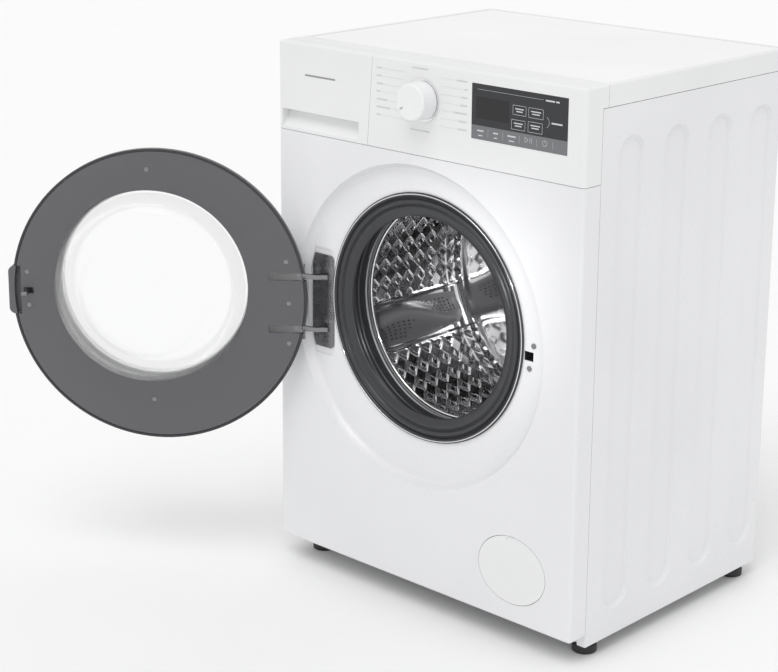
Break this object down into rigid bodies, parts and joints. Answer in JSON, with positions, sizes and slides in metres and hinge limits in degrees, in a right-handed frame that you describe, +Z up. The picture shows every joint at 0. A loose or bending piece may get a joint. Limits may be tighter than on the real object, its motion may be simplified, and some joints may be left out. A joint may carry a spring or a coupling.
{
  "type": "front load washing machine",
  "caption": "White freestanding front load washing machine with its round glass door standing open, detergent drawer, program knob and display.",
  "frame": {"origin": "on the floor, under the middle of the front face", "axes": "+Z up, +Y from the front face to the back, +X to the right seen from the front"},
  "size_m": [0.9173, 0.7973, 0.85],
  "materials": {
    "white_enamel": "gloss",
    "white_plastic": "satin",
    "worktop_laminate": "satin",
    "galvanised": "satin",
    "stainless": "polished",
    "chrome": "polished",
    "cast_alloy": "cast",
    "ring_grey": "matte",
    "trim_black": "gloss",
    "lens_black": "gloss",
    "strip_grey": "satin",
    "knob_white": "satin",
    "black_rubber": "matte",
    "gasket_grey": "satin",
    "clear_glass": "polished",
    "inner_plastic": "matte",
    "board_green": "matte",
    "counterweight": "rough",
    "motor_grey": "satin",
    "zinc_steel": "satin"
  },
  "bodies": {
    "cabinet": {"front_panel": "white_enamel", "side_panel_left": "white_enamel", "side_panel_right": "white_enamel", "rear_panel": "galvanised", "service_cover": "galvanised", "rear_fittings": "trim_black", "worktop_frame": "white_plastic", "worktop_board": "worktop_laminate", "base_tray": "galvanised", "top_rails": "galvanised", "foot_nuts": "zinc_steel", "control_panel": "white_plastic", "display_window": "lens_black", "key_strip": "strip_grey", "control_board": "board_green", "knob_ring": "chrome", "dispenser_housing": "inner_plastic", "door_gasket": "gasket_grey", "gasket_clamps": "stainless", "tub_front": "inner_plastic", "tub_rear": "inner_plastic", "drum_bearings": "stainless", "drive_belt": "black_rubber", "motor": "motor_grey", "suspension_springs": "zinc_steel", "dampers": "zinc_steel", "counterweights": "counterweight", "heater": "stainless", "inlet_valve": "inner_plastic", "water_hoses": "black_rubber", "drain_pump": "inner_plastic", "hinge_bracket": "zinc_steel", "front_screws": "zinc_steel", "door_lock": "trim_black"},
    "door": {"door_shell": "white_plastic", "door_trim": "trim_black", "door_inner_frame": "ring_grey", "door_glass": "clear_glass", "window_cover": "clear_glass", "door_handle": "ring_grey", "door_hinge_pin": "zinc_steel", "door_screws": "zinc_steel"},
    "latch": {"latch_hook": "zinc_steel"},
    "drum": {"drum_shell": "stainless", "drum_front": "stainless", "drum_back": "stainless", "drum_lifters": "inner_plastic", "drum_spider": "cast_alloy", "drum_pulley": "cast_alloy"},
    "motor_rotor": {"motor_pulley": "zinc_steel"},
    "knob": {"program_knob": "knob_white"},
    "drawer": {"drawer_front": "white_plastic", "drawer_tray": "inner_plastic"},
    "flap": {"filter_flap": "white_plastic"},
    "filter": {"filter_cap": "inner_plastic"},
    "impeller": {"pump_impeller": "trim_black"},
    "foot_fl": {"foot_front_left": "black_rubber"},
    "foot_bl": {"foot_back_left": "black_rubber"},
    "foot_fr": {"foot_front_right": "black_rubber"},
    "foot_br": {"foot_back_right": "black_rubber"}
  },
  "joints": [
    {"name": "door_hinge", "type": "hinge", "parent": "cabinet", "child": "door", "pos_m": [-0.24, -0.005, 0.45], "axis": [0, 0, 1], "range_deg": [0, 143]},
    {"name": "latch_slide", "type": "slide", "parent": "door", "child": "latch", "axis": [0.7986, 0.6018, 0], "range_m": [0, 0.003], "stiffness_N_per_m": 900},
    {"name": "drum_spin", "type": "hinge", "parent": "cabinet", "child": "drum", "pos_m": [0, 0.2, 0.465], "axis": [0, 1, 0], "continuous": true},
    {"name": "motor_spin", "type": "hinge", "parent": "cabinet", "child": "motor_rotor", "pos_m": [0.04, 0.4, 0.135], "axis": [0, 1, 0], "continuous": true},
    {"name": "knob_turn", "type": "hinge", "parent": "cabinet", "child": "knob", "pos_m": [0.002, 0, 0.796], "axis": [0, 1, 0], "continuous": true},
    {"name": "drawer_slide", "type": "slide", "parent": "cabinet", "child": "drawer", "axis": [0, -1, 0], "range_m": [0, 0.17]},
    {"name": "flap_hinge", "type": "hinge", "parent": "cabinet", "child": "flap", "pos_m": [0.187, 0, 0.0745], "axis": [1, 0, 0], "range_deg": [0, 90]},
    {"name": "filter_turn", "type": "hinge", "parent": "cabinet", "child": "filter", "pos_m": [0.187, 0.03, 0.122], "axis": [0, -1, 0], "range_deg": [0, 90]},
    {"name": "impeller_spin", "type": "hinge", "parent": "cabinet", "child": "impeller", "pos_m": [0.187, 0.1, 0.122], "axis": [0, 1, 0], "continuous": true},
    {"name": "foot_fl_level", "type": "slide", "parent": "cabinet", "child": "foot_fl", "axis": [0, 0, -1], "range_m": [0, 0.012]},
    {"name": "foot_bl_level", "type": "slide", "parent": "cabinet", "child": "foot_bl", "axis": [0, 0, -1], "range_m": [0, 0.012]},
    {"name": "foot_fr_level", "type": "slide", "parent": "cabinet", "child": "foot_fr", "axis": [0, 0, -1], "range_m": [0, 0.012]},
    {"name": "foot_br_level", "type": "slide", "parent": "cabinet", "child": "foot_br", "axis": [0, 0, -1], "range_m": [0, 0.012]}
  ],
  "couplings": [
    {"joint": "motor_spin", "follows": "drum_spin", "ratio": 12.727}
  ]
}
